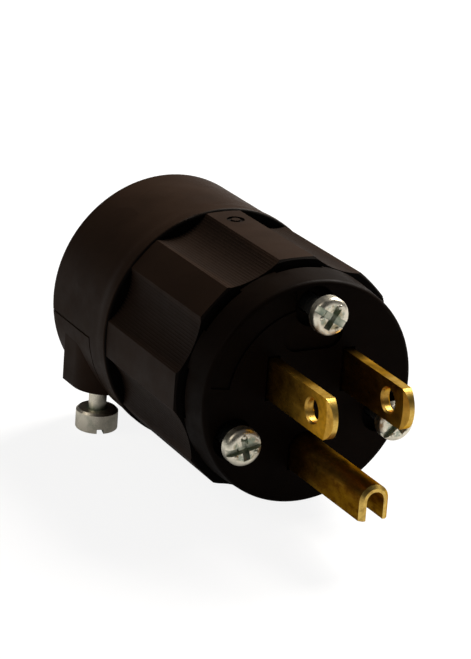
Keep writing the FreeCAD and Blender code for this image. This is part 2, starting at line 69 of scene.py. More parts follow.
# Face screws: the place of each, how far its head stands out and how its dots are turned
BOLT_CIRCLE = 13.6 * MM
HEAD_HEIGHT = 2.0 * MM
FACE_SCREWS = {
    "top": {"angle": 90.0, "proud": 3.2 * MM, "dots_turned": 65.0},
    "left": {"angle": 205.0, "proud": 2.1 * MM, "dots_turned": 20.0},
    "right": {"angle": 340.5, "proud": 3.25 * MM, "dots_turned": -5.0},
}
THREAD_PITCH = 0.79 * MM
THREAD_ROOT = 1.40 * MM
THREAD_HEIGHT = 0.16 * MM
THREAD_BEHIND_HEAD = 0.25 * MM
THREAD_TURNS = 5
THREAD_STEPS_PER_TURN = 24
THREAD_SIDES = 4
DOTS_PER_HEAD = 3
DOT_CIRCLE = 1.9 * MM
DOT_RADIUS = 0.38 * MM
DOT_FLATNESS = 0.5
DOT_SEGMENTS = 16
DOT_RINGS = 10

# Plastics: main colour and colour in patches
SHELL_COLOURS = ((0.037, 0.0205, 0.0125), (0.028, 0.0155, 0.0095))
# The face is darker than the shell as painted shade, for faces turned from the lamps
FACE_COLOURS = ((0.011, 0.0065, 0.0042), (0.0075, 0.0045, 0.003))
RETAINER_COLOURS = ((0.05, 0.045, 0.04), (0.04, 0.036, 0.032))
SHELL_SPECULAR = 0.05
FACE_SPECULAR = 0.025

# Metals: main colour and colour in patches
BLADE_COLOURS = ((0.62, 0.34, 0.045), (0.24, 0.11, 0.018))
PIN_COLOURS = ((0.50, 0.27, 0.038), (0.20, 0.09, 0.015))
ZINC_COLOURS = ((0.88, 0.81, 0.66), (0.60, 0.58, 0.46))
NUT_COLOURS = ((0.6, 0.6, 0.56), (0.45, 0.45, 0.4))
BRASS_SCREW_COLOURS = ((0.66, 0.47, 0.17), (0.5, 0.33, 0.1))
NICKEL_COLOURS = ((0.7, 0.69, 0.65), (0.56, 0.55, 0.5))
GREEN_COLOURS = ((0.06, 0.3, 0.13), (0.04, 0.2, 0.09))
BRASS_RIM = (0.75, 0.45, 0.12)
ALONG_THE_PLUG = (1, 0.5, 1)

# How fine the patches, the gloss and the grain are
PATCH_DETAIL = 6.0
GLOSS_DETAIL = 4.0
GLOSS_PER_PATCH = 3.7
GLOSS_LOW = 0.3
GLOSS_HIGH = 0.7
PATCH_ROUGHNESS = 0.6
GRAIN_DETAIL = 3.0
WAVE_DETAIL = 2.0
GRAIN_ROUGHNESS = 0.5
SHEET_BUMP = 0.06 * MM
SCREW_BUMP = 0.05 * MM

# Bare brass: worn sides near a blade's end, bright edges (bare brass and painted highlight) and cut ends
WORN_BRASS = (0.76, 0.40, 0.045)
BRIGHT_BRASS = (0.80, 0.54, 0.14)
TIP_WEAR_START = -9.5 * MM
TIP_WEAR_FULL = -14.5 * MM
TIP_WEAR_SHARE = 0.75
BRIGHT_EDGE_START = -10.8 * MM
BRIGHT_EDGE_FULL = -12.6 * MM
BRIGHT_EDGE_ELSEWHERE = 0.12
FLAT_SIDE = 0.985
ROUNDED_EDGE = 0.93
BARE_BLADE_ROUGHNESS = 0.36
BARE_PIN_ROUGHNESS = 0.38
WEAR_SCALE = 900.0
WEAR_DETAIL = 3.0
WEAR_LOW = 0.35
WEAR_HIGH = 0.6
WEAR_LEAST = 0.45

# Stains, tarnish and dirt; also painted shade in corners, on steps, in the flutes, in screw recesses and on
# the shanks
BRASS_STAIN = (0.13, 0.05, 0.008)
STAIN_DETAIL = 5.0
STAIN_ROUGHNESS = 0.7
STAIN_GLOSS = 0.5
TARNISHES = {
    "olive": {"colour": (0.36, 0.30, 0.15), "scale": 900.0},
    "teal": {"colour": (0.27, 0.36, 0.29), "scale": 1300.0},
}
TARNISH_REACH = 2.2 * MM
TARNISH_START = 1.2 * MM
TARNISH_FULL = 0.9 * MM
TARNISH_DETAIL = 4.0
TARNISH_ROUGHNESS = 0.65
TARNISH_LOW = 0.46
TARNISH_HIGH = 0.6
TARNISH_SHARE = 0.75
TARNISH_GLOSS = 0.5
# Grey-green dirt, with painted shade, in the screw heads' recesses
RECESS_SOIL_AND_SHADE = (0.36, 0.42, 0.33)
RECESS_REACH = 1.4 * MM
RECESS_OPEN = 0.92
RECESS_CLOSED = 0.6
RECESS_SHARE = 0.85
RECESS_GLOSS = 0.5
RECESS_METAL = 0.85
# Painted shade on the face screws' shanks, down in the shaded counterbores
SHANK_SHADE = (0.012, 0.011, 0.009)
SHANK_REACH = 1.9 * MM
SHANK_SHADE_FADE = 0.1 * MM
SHANK_GLOSS = 0.9
SCREW_MASK_FADE = 0.85
# Painted shade: a near-black laid in the moulding's corners and on its steps, and with dirt in its flutes
SHADE_AND_GRIME = (0.004, 0.003, 0.0025)
CORNER_SHADE_REACH = 3.0 * MM
SHADE_GLOSS = 0.7
CORNER_OPEN = 0.86
CORNER_CLOSED = 0.62
CORNER_SHARE = 0.9
# Painted shade on the surfaces turned to the outlet, away from the lamps
STEP_TURNED = 0.3
STEP_FACING = 0.75
STEP_SHARE = 0.92
# Dirt and painted shade of the rib grooves, laid over the sunk flutes
FLUTE_SOIL_SHADE_EDGE = 18.9 * MM
FLUTE_SOIL_SHADE_FULL = 18.5 * MM
FLUTE_SOIL_SHADE_SHARE = 0.38
FLUTE_SOIL_SHADE_GLOSS = 0.6
GRIP_SOIL_SHADE_FADE = 0.5 * MM
CUT_END_TURNED = 0.25
CUT_END_FACING = 0.6
CAVITY_SAMPLES = 8

# Camera, as the photograph was taken
CAMERA_DISTANCE = 0.5
CAMERA_AZIMUTH = math.radians(-29.51)
CAMERA_ELEVATION = math.radians(20.087)
CAMERA_ROLL = math.radians(4.185)
CAMERA_TARGET = Vector((-7.508, 10.0, 7.301)) * MM
FOCAL_IN_PIXELS = 3366.0
PICTURE_HEIGHT = 659
SENSOR_HEIGHT = 36.0
NEAREST_SEEN = 0.01
FARTHEST_SEEN = 20.0

# Lights and surround
LIGHTS_AIM = Vector((0.0, 20.0, 0.0)) * MM
LIGHTS = {
    "key": {"place": (0.62, 0.28, 0.6), "size": 0.45, "power": 11.6, "colour": (1.0, 0.96, 0.9)},
    "front": {"place": (0.5, -0.85, 0.25), "size": 0.4, "power": 0.12, "colour": (1.0, 1.0, 1.0)},
    "left": {"place": (-0.7, 0.15, 0.6), "size": 0.5, "power": 1.2, "colour": (1.0, 0.93, 0.85)},
}
SURROUND_GREY = (0.55, 0.55, 0.56, 1.0)
SURROUND_STRENGTH = 0.1
WHITE = (1.0, 1.0, 1.0, 1.0)

# Floor: its glow to the eye, in reflections, under the plug and the share left behind it; the lower glow
# under and behind the plug is a painted shadow in its reflections
FLOOR_Z = cad_box[0][2]
FLOOR_SIZE = 3.0
FLOOR_GREY = (0.2, 0.2, 0.2, 1.0)
FLOOR_ROUGHNESS = 0.9
FLOOR_GLOW_SEEN = 0.88
FLOOR_GLOW_MIRRORED = 0.62
FLOOR_GLOW_UNDER_PLUG = 0.12
FLOOR_SHARE_BEHIND = 0.3
UNDER_PLUG = Vector((0.0, 25.0, 0.0)) * MM
UNDER_PLUG_HALF = Vector((23.0, 34.0, 1000.0)) * MM
BEHIND_PLUG = Vector((-30.0, 95.0, 0.0)) * MM
BEHIND_PLUG_HALF = Vector((60.0, 35.0, 1000.0)) * MM
OVAL_INSIDE = 0.7
OVAL_OUTSIDE = 1.5

# Sockets of a mix node for colours, by number, because it has several under each label
MIX_FACTOR = 0
MIX_FIRST = 6
MIX_SECOND = 7
MIX_RESULT = 2


def feed(tree, node, inputs):
    """Gives a node's inputs, by name or number, other nodes' outputs or plain values."""
    for label, value in inputs.items():
        if isinstance(value, bpy.types.NodeSocket):
            tree.links.new(value, node.inputs[label])
        else:
            node.inputs[label].default_value = value


def add_node(tree, kind, inputs=None, **settings):
    """A new node with its settings made and its inputs fed."""
    node = tree.nodes.new(kind)
    for setting, value in settings.items():
        setattr(node, setting, value)
    feed(tree, node, inputs or {})
    return node


def maths(tree, operation, *values):
    return add_node(tree, "ShaderNodeMath", dict(enumerate(values)), operation=operation).outputs[0]


def noise(tree, vector, scale, detail, roughness):
    inputs = {"Vector": vector, "Scale": scale, "Detail": detail, "Roughness": roughness}
    return add_node(tree, "ShaderNodeTexNoise", inputs).outputs["Fac"]


def remap(tree, value, low, high, to_low, to_high):
    inputs = {"Value": value, "From Min": low, "From Max": high, "To Min": to_low, "To Max": to_high}
    return add_node(tree, "ShaderNodeMapRange", inputs).outputs["Result"]


def mixed_colour(tree, factor, first, second):
    """The first colour at factor 0, the second at factor 1."""
    inputs = {MIX_FACTOR: factor, MIX_FIRST: first, MIX_SECOND: second}
    return add_node(tree, "ShaderNodeMix", inputs, data_type="RGBA").outputs[MIX_RESULT]


def object_place(tree):
    return add_node(tree, "ShaderNodeTexCoord").outputs["Object"]


def one_axis(tree, vector, axis):
    return add_node(tree, "ShaderNodeSeparateXYZ", {"Vector": vector}).outputs[axis]


def along_plug(tree):
    """A surface point's place along the plug."""
    return one_axis(tree, object_place(tree), "Y")


def facing(tree, axis):
    """How far a surface faces along one axis of the plug, before any bump."""
    return one_axis(tree, add_node(tree, "ShaderNodeTexCoord").outputs["Normal"], axis)


def away_from_axis(tree, spot):
    """A point's distance from an axis that runs along the plug through a spot of the mating face."""
    flattened = {0: object_place(tree), 1: (1, 0, 1)}
    flat = add_node(tree, "ShaderNodeVectorMath", flattened, operation="MULTIPLY").outputs["Vector"]
    return add_node(tree, "ShaderNodeVectorMath", {0: flat, 1: spot}, operation="DISTANCE").outputs["Value"]


def openness(tree, reach):
    """How open a point of a piece is to what lies round it, from 0 in a corner to 1."""
    settings = {"only_local": True, "samples": CAVITY_SAMPLES}
    return add_node(tree, "ShaderNodeAmbientOcclusion", {"Distance": reach}, **settings).outputs["AO"]


def new_group(name, inputs, outputs):
    """A shader node group with named inputs and outputs."""
    group = bpy.data.node_groups.new(name, "ShaderNodeTree")
    for label, kind, value in inputs:
        socket = group.interface.new_socket(label, in_out="INPUT", socket_type=kind)
        if value is not None:
            socket.default_value = value
    for label, kind in outputs:
        group.interface.new_socket(label, in_out="OUTPUT", socket_type=kind)
    add_node(group, "NodeGroupInput", name="in")
    add_node(group, "NodeGroupOutput", name="out")
    return group


def mottle_group():
    """Broad patches of a second colour and of gloss, as on any handled surface."""
    group = new_group(
        "surface mottle",
        [
            ("Vector", "NodeSocketVector", None),
            ("Colour", "NodeSocketColor", (0.5, 0.5, 0.5, 1.0)),
            ("Patch Colour", "NodeSocketColor", (0.4, 0.4, 0.4, 1.0)),
            ("Patch Scale", "NodeSocketFloat", 200.0),
            ("Patch Low", "NodeSocketFloat", 0.45),
            ("Patch High", "NodeSocketFloat", 0.65),
            ("Roughness Low", "NodeSocketFloat", 0.3),
            ("Roughness High", "NodeSocketFloat", 0.5),
        ],
        [("Colour", "NodeSocketColor"), ("Roughness", "NodeSocketFloat"), ("Mask", "NodeSocketFloat")],
    )
    given = group.nodes["in"].outputs
    field = noise(group, given["Vector"], given["Patch Scale"], PATCH_DETAIL, PATCH_ROUGHNESS)
    mask = remap(group, field, given["Patch Low"], given["Patch High"], 0.0, 1.0)
    fine_scale = maths(group, "MULTIPLY", given["Patch Scale"], GLOSS_PER_PATCH)
    fine = noise(group, given["Vector"], fine_scale, GLOSS_DETAIL, PATCH_ROUGHNESS)
    gloss = remap(group, fine, GLOSS_LOW, GLOSS_HIGH, given["Roughness Low"], given["Roughness High"])
    colour = mixed_colour(group, mask, given["Colour"], given["Patch Colour"])
    feed(group, group.nodes["out"], {"Colour": colour, "Roughness": gloss, "Mask": mask})
    return group


def grain_group():
    """A fine moulded or rolled grain, as a height for a bump."""
    group = new_group(
        "surface grain",
        [
            ("Vector", "NodeSocketVector", None),
            ("Grain Scale", "NodeSocketFloat", 3000.0),
            ("Wave Scale", "NodeSocketFloat", 120.0),
            ("Wave Share", "NodeSocketFloat", 0.3),
        ],
        [("Height", "NodeSocketFloat")],
    )
    given = group.nodes["in"].outputs
    fine = noise(group, given["Vector"], given["Grain Scale"], GRAIN_DETAIL, GRAIN_ROUGHNESS)
    broad = noise(group, given["Vector"], given["Wave Scale"], WAVE_DETAIL, GRAIN_ROUGHNESS)
    height = maths(group, "ADD", fine, maths(group, "MULTIPLY", broad, given["Wave Share"]))
    feed(group, group.nodes["out"], {"Height": height})
    return group


MOTTLE = mottle_group()
GRAIN = grain_group()


def new_material(name):
    """A new material, its node tree and its shader."""
    material = bpy.data.materials.new(name)
    material.use_nodes = True
    return material, material.node_tree, material.node_tree.nodes["Principled BSDF"]


def finish_material(
    name, colours, metallic, patch_scale, patch_edges, gloss, grain_scale, wave_scale, wave_share,
    bump_strength, bump_height, stretch=(1, 1, 1), specular=0.5, rim=(1, 1, 1)
):
    """A material that joins the mottle and grain groups to one shader."""
    material, tree, shader = new_material(name)
    mapping = add_node(tree, "ShaderNodeMapping", {"Vector": object_place(tree), "Scale": stretch})
    vector = mapping.outputs["Vector"]
    mottle = add_node(tree, "ShaderNodeGroup", {
        "Vector": vector, "Colour": (*colours[0], 1.0), "Patch Colour": (*colours[1], 1.0),
        "Patch Scale": patch_scale, "Patch Low": patch_edges[0], "Patch High": patch_edges[1],
        "Roughness Low": gloss[0], "Roughness High": gloss[1],
    }, node_tree=MOTTLE)
    grain = add_node(tree, "ShaderNodeGroup", {
        "Vector": vector, "Grain Scale": grain_scale, "Wave Scale": wave_scale, "Wave Share": wave_share,
    }, node_tree=GRAIN)
    bump = add_node(tree, "ShaderNodeBump", {
        "Strength": bump_strength, "Distance": bump_height, "Height": grain.outputs["Height"],
    })
    feed(tree, shader, {
        "Base Color": mottle.outputs["Colour"], "Roughness": mottle.outputs["Roughness"],
        "Normal": bump.outputs["Normal"], "Metallic": metallic, "Specular IOR Level": specular,
        "Specular Tint": (*rim, 1.0),
    })
    return material


def lay_over(material, mask, colour, roughness):
    """Blends a second colour and gloss over a material wherever a mask is 1."""
    tree = material.node_tree
    shader = tree.nodes["Principled BSDF"]
    below = shader.inputs["Base Color"].links[0].from_socket
    gloss = shader.inputs["Roughness"].links[0].from_socket
    feed(tree, shader, {
        "Base Color": mixed_colour(tree, mask, below, (*colour, 1.0)),
        "Roughness": remap(tree, mask, 0.0, 1.0, gloss, roughness),
    })


def dull(material, mask, metallic):
    """Lowers a metal's shine to the given share wherever a mask is 1."""
    tree = material.node_tree
    shader = tree.nodes["Principled BSDF"]
    links = shader.inputs["Metallic"].links
    above = links[0].from_socket if links else 1.0
    feed(tree, shader, {"Metallic": remap(tree, mask, 0.0, 1.0, above, metallic)})


def stain(material, scale, low, high, share):
    """Small brown stains in streaks along the plug."""
    tree = material.node_tree
    vector = tree.nodes["Mapping"].outputs["Vector"]
    spots = noise(tree, vector, scale, STAIN_DETAIL, STAIN_ROUGHNESS)
    lay_over(material, remap(tree, spots, low, high, 0.0, share), BRASS_STAIN, STAIN_GLOSS)


def worn_patches(tree):
    """A patchy mask of wear between half and full."""
    field = noise(tree, object_place(tree), WEAR_SCALE, WEAR_DETAIL, PATCH_ROUGHNESS)
    return remap(tree, field, WEAR_LOW, WEAR_HIGH, WEAR_LEAST, 1.0)


def worn_and_highlit_blade_ends(material):
    """Bare brass near a blade's end: dull on its sides; bright on the pressed tip, edges and hole's rim, as
    bare brass and as a painted highlight on the rounded edges.
    """
    tree = material.node_tree
    patches = worn_patches(tree)
    along = along_plug(tree)
    sides = remap(tree, along, TIP_WEAR_START, TIP_WEAR_FULL, 0.0, TIP_WEAR_SHARE)
    lay_over(material, maths(tree, "MULTIPLY", sides, patches), WORN_BRASS, BARE_BLADE_ROUGHNESS)
    # Painted highlight and wear: brighter brass on the rounded edges, picked by their turn from the flat
    # sides
    edge = remap(tree, maths(tree, "ABSOLUTE", facing(tree, "X")), FLAT_SIDE, ROUNDED_EDGE, 0.0, 1.0)
    near_end = remap(tree, along, BRIGHT_EDGE_START, BRIGHT_EDGE_FULL, BRIGHT_EDGE_ELSEWHERE, 1.0)
    mask = maths(tree, "MULTIPLY", edge, near_end)
    lay_over(material, maths(tree, "MULTIPLY", mask, patches), BRIGHT_BRASS, BARE_BLADE_ROUGHNESS)


def towards_outlet(tree, turned, full, share):
    """A mask of the surfaces that face the outlet."""
    forward = maths(tree, "MULTIPLY", facing(tree, "Y"), -1.0)
    return remap(tree, forward, turned, full, 0.0, share)


def bare_pin_end(material):
    """Bare bright brass on the cut end of the folded pin."""
    tree = material.node_tree
    mask = towards_outlet(tree, CUT_END_TURNED, CUT_END_FACING, 1.0)
    lay_over(material, maths(tree, "MULTIPLY", mask, worn_patches(tree)), BRIGHT_BRASS, BARE_PIN_ROUGHNESS)


def shade_corners(material):
    """Painted shade: near-black in the corners of the moulding, the darker the more closed in a point is."""
    tree = material.node_tree
    mask = remap(tree, openness(tree, CORNER_SHADE_REACH), CORNER_OPEN, CORNER_CLOSED, 0.0, CORNER_SHARE)
    lay_over(material, mask, SHADE_AND_GRIME, SHADE_GLOSS)


def shade_steps(material):
    """Painted shade, the same near-black, on the steps that face the outlet, away from the lamps, at both
    ends of the flutes.
    """
    mask = towards_outlet(material.node_tree, STEP_TURNED, STEP_FACING, STEP_SHARE)
    lay_over(material, mask, SHADE_AND_GRIME, SHADE_GLOSS)


def soil_and_shade_flutes(material):
    """A film of handling dirt, together with painted shade of the rib grooves, over the ribbed flutes of the
    grip.
    """
    tree = material.node_tree
    depth = away_from_axis(tree, (0, 0, 0))
    sunk = remap(tree, depth, FLUTE_SOIL_SHADE_EDGE, FLUTE_SOIL_SHADE_FULL, 0.0, FLUTE_SOIL_SHADE_SHARE)
    on_grip = remap(tree, along_plug(tree), GRIP_REAR, GRIP_REAR + GRIP_SOIL_SHADE_FADE, 1.0, 0.0)
    lay_over(material, maths(tree, "MULTIPLY", sunk, on_grip), SHADE_AND_GRIME, FLUTE_SOIL_SHADE_GLOSS)


def on_screw_axis(screw, y):
    """The point of a face screw's axis at a place along the plug."""
    angle = math.radians(screw["angle"])
    return Vector((BOLT_CIRCLE * math.cos(angle), y, BOLT_CIRCLE * math.sin(angle)))


def over_face_screws(tree, reach, start, end):
    """A mask round the face screws' axes that rises between two places, given from the back of each head."""
    whole = None
    for screw in FACE_SCREWS.values():
        rising = remap(tree, along_plug(tree), start - screw["proud"], end - screw["proud"], 0.0, 1.0)
        away = away_from_axis(tree, on_screw_axis(screw, 0.0))
        near = remap(tree, away, SCREW_MASK_FADE * reach, reach, 1.0, 0.0)
        mask = maths(tree, "MULTIPLY", rising, near)
        whole = maths(tree, "MAXIMUM", whole, mask) if whole else mask
    return whole


def shade_shanks(material):
    """Painted shade on the face screws' shanks behind their heads: near-black and without shine."""
    mask = over_face_screws(material.node_tree, SHANK_REACH, 0.0, SHANK_SHADE_FADE)
    lay_over(material, mask, SHANK_SHADE, SHANK_GLOSS)
    dull(material, mask, 0.0)


def tarnish_heads(material):
    """Teal and olive blotches round the recess in each face screw's head."""
    tree = material.node_tree
    middle = over_face_screws(tree, TARNISH_REACH, TARNISH_START - HEAD_HEIGHT, TARNISH_FULL - HEAD_HEIGHT)
    for tarnish in TARNISHES.values():
        field = noise(tree, object_place(tree), tarnish["scale"], TARNISH_DETAIL, TARNISH_ROUGHNESS)
        blotch = remap(tree, field, TARNISH_LOW, TARNISH_HIGH, 0.0, TARNISH_SHARE)
        lay_over(material, maths(tree, "MULTIPLY", blotch, middle), tarnish["colour"], TARNISH_GLOSS)


def soil_and_shade_recesses(material):
    """Grey-green dirt down in a screw's slot and cross, which also darkens it there as painted shade."""
    tree = material.node_tree
    mask = remap(tree, openness(tree, RECESS_REACH), RECESS_OPEN, RECESS_CLOSED, 0.0, RECESS_SHARE)
    lay_over(material, mask, RECESS_SOIL_AND_SHADE, RECESS_GLOSS)
    dull(material, mask, RECESS_METAL)


def make_plastics():
    """The brown-black shell and clamp, the face darkened as painted shade, and the insulator inside."""
    common = {
        "metallic": 0.0, "patch_edges": (0.4, 0.7), "wave_scale": 90, "wave_share": 0.4,
        "bump_height": SHEET_BUMP,
    }
    shell = {
        "gloss": (0.42, 0.55), "grain_scale": 2600, "bump_strength": 0.12, "specular": SHELL_SPECULAR,
    }
    housing = finish_material(
        "moulded brown-black plastic", SHELL_COLOURS, patch_scale=90, **shell, **common
    )
    shade_corners(housing)
    shade_steps(housing)
    soil_and_shade_flutes(housing)
    clamp = finish_material("clamp plastic", SHELL_COLOURS, patch_scale=110, **shell, **common)
    face = finish_material(
        "face plastic", FACE_COLOURS, patch_scale=140, gloss=(0.4, 0.55), grain_scale=2400,
        bump_strength=0.14, specular=FACE_SPECULAR, **common
    )
    shade_corners(face)
    retainer = finish_material(
        "retainer plastic", RETAINER_COLOURS, patch_scale=160, gloss=(0.45, 0.6), grain_scale=2400,
        bump_strength=0.15, **common
    )
    return {
        "housing_plastic": housing, "clamp_plastic": clamp, "face_plastic": face,
        "retainer_plastic": retainer,
    }


def make_sheet_brass():
    """The stained brass of the blades and of the folded pin, bare where they wear."""
    common = {
        "metallic": 1.0, "wave_share": 0.6, "bump_height": SHEET_BUMP, "stretch": ALONG_THE_PLUG,
        "rim": BRASS_RIM,
    }
    blade = finish_material(
        "stamped blade brass", BLADE_COLOURS, patch_scale=190, patch_edges=(0.36, 0.60),
        gloss=(0.26, 0.42), grain_scale=2800, wave_scale=260, bump_strength=0.25, **common
    )
    stain(blade, scale=900.0, low=0.50, high=0.64, share=0.75)
    worn_and_highlit_blade_ends(blade)
    pin = finish_material(
        "folded pin brass", PIN_COLOURS, patch_scale=170, patch_edges=(0.34, 0.58),
        gloss=(0.27, 0.42), grain_scale=2600, wave_scale=240, bump_strength=0.3, **common
    )
    stain(pin, scale=800.0, low=0.46, high=0.62, share=0.8)
    bare_pin_end(pin)
    return {"blade_brass": blade, "pin_brass": pin}


def make_screw_metals():
    """The yellowed zinc of the screws that show, and the clean metals inside."""
    common = {"metallic": 1.0, "wave_share": 0.5, "bump_height": SCREW_BUMP}
    plated = {"grain_scale": 3600, "wave_scale": 500, "bump_strength": 0.25}
    zinc = finish_material(
        "yellowed zinc plate", ZINC_COLOURS, patch_scale=520, patch_edges=(0.50, 0.72),
        gloss=(0.24, 0.46), **plated, **common
    )
    tarnish_heads(zinc)
    soil_and_shade_recesses(zinc)
    shade_shanks(zinc)
    inside = {"patch_scale": 420, "patch_edges": (0.45, 0.7)}
    terminal = {"grain_scale": 3200, "wave_scale": 400, "bump_strength": 0.2}
    return {
        "zinc_plated_steel": zinc,
        "nut_steel": finish_material(
            "nut zinc plate", NUT_COLOURS, gloss=(0.3, 0.5), **inside, **plated, **common
        ),
        "brass_screw": finish_material(
            "bright terminal brass", BRASS_SCREW_COLOURS, gloss=(0.22, 0.38), **inside, **terminal, **common
        ),
        "plated_screw": finish_material(
            "nickel terminal plate", NICKEL_COLOURS, gloss=(0.2, 0.36), **inside, **terminal, **common
        ),
        "green_screw": finish_material(
            "green passivated steel", GREEN_COLOURS, gloss=(0.25, 0.42), **inside, **terminal, **common
        ),
    }


def dress_nodes(materials):
    """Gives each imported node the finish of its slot."""
    for part in frame["record"]["subparts"]:
        node = frame["nodes"][part["node"]]
        node.data.materials.clear()
        node.data.materials.append(materials[part["material_slot"]])


def geometry_tree(name, inputs):
    """A geometry node tree with named inputs, and a material as the last of them."""
    tree = bpy.data.node_groups.new(name, "GeometryNodeTree")
    tree.interface.new_socket("Geometry", in_out="OUTPUT", socket_type="NodeSocketGeometry")
    for label, kind in inputs + [("Material", "NodeSocketMaterial")]:
        tree.interface.new_socket(label, in_out="INPUT", socket_type=kind)
    add_node(tree, "NodeGroupInput", name="in")
    add_node(tree, "NodeGroupOutput", name="out")
    return tree


def give_out(tree, geometry):
    """Ends a geometry tree: whatever it made becomes one real mesh in the given material."""
    whole = add_node(tree, "GeometryNodeRealizeInstances", {"Geometry": geometry})
    painted = add_node(tree, "GeometryNodeSetMaterial", {
        "Geometry": whole.outputs["Geometry"], "Material": tree.nodes["in"].outputs["Material"],
    })
    feed(tree, tree.nodes["out"], {"Geometry": painted.outputs["Geometry"]})


def swept_along(tree, curve, outline):
    """A closed tube of the given outline along a curve."""
    inputs = {"Curve": curve, "Profile Curve": outline, "Fill Caps": True}
    return add_node(tree, "GeometryNodeCurveToMesh", inputs).outputs["Mesh"]


def round_outline(tree, sides, radius):
    inputs = {"Resolution": sides, "Radius": radius}
    return add_node(tree, "GeometryNodeCurvePrimitiveCircle", inputs).outputs["Curve"]


def blend(tree, factor, first, second):
    """The first value at factor 0, the second at factor 1."""
    change = maths(tree, "SUBTRACT", second, first)
    return maths(tree, "MULTIPLY_ADD", factor, change, first)


def numbered_lines(tree, count):
    """Lines along Y that lie on each other, with each line's number kept as the attribute rib."""
    row = add_node(tree, "GeometryNodeMeshLine", {"Count": count})
    number = add_node(tree, "GeometryNodeInputIndex").outputs[0]
    numbered = add_node(tree, "GeometryNodeStoreNamedAttribute", {
        "Geometry": row.outputs["Mesh"], "Name": "rib", "Value": number,
    }, data_type="INT", domain="POINT")
    line = add_node(tree, "GeometryNodeCurvePrimitiveLine", {"End": (0, 1, 0)})
    laid = add_node(tree, "GeometryNodeInstanceOnPoints", {
        "Points": numbered.outputs["Geometry"], "Instance": line.outputs["Curve"],
    })
    real = add_node(tree, "GeometryNodeRealizeInstances", {"Geometry": laid.outputs["Instances"]})
    return real.outputs["Geometry"]


def place_in_flute(tree):
    """The place of a rib's point in a flute laid at the top: one arc at its front, another at its rear."""
    given = tree.nodes["in"].outputs
    number = add_node(tree, "GeometryNodeInputNamedAttribute", {"Name": "rib"}, data_type="INT")
    across = maths(tree, "DIVIDE", maths(tree, "ADD", number.outputs["Attribute"], 0.5), given["Ribs"])
    across = maths(tree, "MULTIPLY_ADD", across, 2.0, -1.0)
    across = maths(tree, "MULTIPLY", across, given["Share"])
    ends = []
    for end in ("Front", "Rear"):
        angle = maths(tree, "MULTIPLY", across, given[end + " Half"])
        radius = maths(tree, "ADD", given[end + " Radius"], given["Sink"])
        inward = maths(tree, "MULTIPLY", maths(tree, "COSINE", angle), radius)
        side = maths(tree, "MULTIPLY", maths(tree, "SINE", angle), radius)
        ends.append((side, maths(tree, "SUBTRACT", given[end + " Centre"], inward)))
    along = add_node(tree, "GeometryNodeSplineParameter").outputs["Factor"]
    (front_side, front_height), (rear_side, rear_height) = ends
    return add_node(tree, "ShaderNodeCombineXYZ", {
        "X": blend(tree, along, front_side, rear_side),
        "Y": blend(tree, along, given["Start"], given["End"]),
        "Z": blend(tree, along, front_height, rear_height),
    }).outputs["Vector"]


def round_the_plug(tree, mesh, count):
    """Copies of a mesh turned about the plug, half a step off the top."""
    spots = add_node(tree, "GeometryNodeMeshLine", {"Count": count, "Offset": (0, 0, 0)})
    number = add_node(tree, "GeometryNodeInputIndex").outputs[0]
    step = maths(tree, "DIVIDE", 2 * math.pi, count)
    turn = maths(tree, "MULTIPLY", maths(tree, "ADD", number, 0.5), step)
    about_axis = add_node(tree, "ShaderNodeCombineXYZ", {"Y": turn}).outputs["Vector"]
    rotation = add_node(tree, "FunctionNodeEulerToRotation", {"Euler": about_axis})
    return add_node(tree, "GeometryNodeInstanceOnPoints", {
        "Points": spots.outputs["Mesh"], "Instance": mesh, "Rotation": rotation.outputs["Rotation"],
    }).outputs["Instances"]


def rib_tree():
    """Straight fine ribs laid along the ruled surface of every flute."""
    tree = geometry_tree("grip ribs", [
        ("Flutes", "NodeSocketInt"), ("Ribs", "NodeSocketInt"), ("Share", "NodeSocketFloat"),
        ("Rib Radius", "NodeSocketFloat"), ("Start", "NodeSocketFloat"), ("End", "NodeSocketFloat"),
        ("Front Centre", "NodeSocketFloat"), ("Front Radius", "NodeSocketFloat"),
        ("Front Half", "NodeSocketFloat"), ("Rear Centre", "NodeSocketFloat"),
        ("Rear Radius", "NodeSocketFloat"), ("Rear Half", "NodeSocketFloat"), ("Sink", "NodeSocketFloat"),
    ])
    given = tree.nodes["in"].outputs
    lines = add_node(tree, "GeometryNodeSetPosition", {
        "Geometry": numbered_lines(tree, given["Ribs"]), "Position": place_in_flute(tree),
    }).outputs["Geometry"]
    ribs = swept_along(tree, lines, round_outline(tree, RIB_SIDES, given["Rib Radius"]))
    give_out(tree, round_the_plug(tree, ribs, given["Flutes"]))
    return tree


def thread_tree():
    """One screw's thread: a pointed ridge wound round a shank along +Y."""
    tree = geometry_tree("screw thread", [
        ("Turns", "NodeSocketFloat"), ("Pitch", "NodeSocketFloat"), ("Root", "NodeSocketFloat"),
        ("Height", "NodeSocketFloat"),
    ])
    given = tree.nodes["in"].outputs
    wound = add_node(tree, "GeometryNodeCurveSpiral", {
        "Resolution": THREAD_STEPS_PER_TURN, "Rotations": given["Turns"], "Start Radius": given["Root"],
        "End Radius": given["Root"], "Height": maths(tree, "MULTIPLY", given["Turns"], given["Pitch"]),
    }).outputs["Curve"]
    give_out(tree, swept_along(tree, wound, round_outline(tree, THREAD_SIDES, given["Height"])))
    return tree


